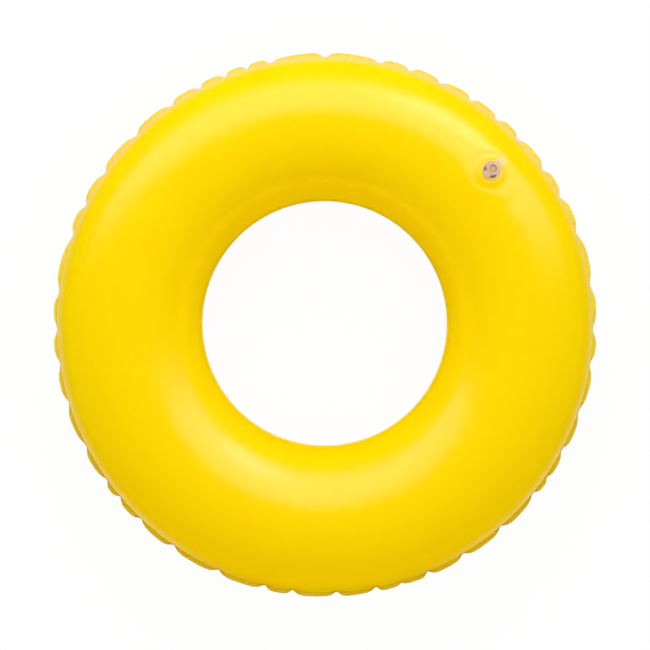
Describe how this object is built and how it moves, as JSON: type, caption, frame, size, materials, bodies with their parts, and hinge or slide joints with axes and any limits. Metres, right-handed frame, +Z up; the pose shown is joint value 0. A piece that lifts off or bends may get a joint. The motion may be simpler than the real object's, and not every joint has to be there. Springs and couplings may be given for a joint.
{
  "type": "swim ring",
  "caption": "Inflated swim ring of two welded films, pleated round its outer weld, with a press-in mouth valve and a tethered stopper.",
  "frame": {"origin": "On the ring's axis, at the height of the floor that the ring lies on.", "axes": "+Z up along the ring's axis, through the hole. +X points to the right of the picture and +Y to its top."},
  "size_m": [0.4779, 0.4775, 0.1257],
  "materials": {
    "top_film": "bright yellow calendered vinyl film",
    "bottom_film": "bright yellow calendered vinyl film",
    "valve_disc": "soft moulded vinyl seen through the yellow film",
    "valve_skirt": "soft moulded vinyl, yellow",
    "stem_vinyl": "clear moulded vinyl, greyish pink",
    "flap_vinyl": "soft clear vinyl",
    "stopper_vinyl": "clear moulded vinyl, greyish pink",
    "strap_vinyl": "clear moulded vinyl, greyish pink"
  },
  "bodies": {
    "ring": {"top_skin": "top_film", "bottom_skin": "bottom_film", "valve_flange": "valve_disc", "valve_neck": "valve_skirt"},
    "stem": {"valve_stem": "stem_vinyl", "plug_strap": "strap_vinyl"},
    "plug": {"valve_plug": "stopper_vinyl"},
    "flap": {"check_flap": "flap_vinyl"}
  },
  "joints": [
    {"name": "valve_press", "type": "slide", "parent": "ring", "child": "stem", "axis": [0.2558, 0.2377, 0.937], "range_m": [-0.0065, 0], "deforming": ["valve_neck"]},
    {"name": "plug_swing", "type": "hinge", "parent": "stem", "child": "plug", "pos_m": [0.13924, 0.12939, 0.12389], "axis": [0.6807, -0.7325, 0], "range_deg": [0, 120], "deforming": ["plug_strap"]},
    {"name": "flap_open", "type": "hinge", "parent": "stem", "child": "flap", "pos_m": [0.13891, 0.12908, 0.11008], "axis": [-0.6807, 0.7325, 0], "range_deg": [0, 35]}
  ]
}
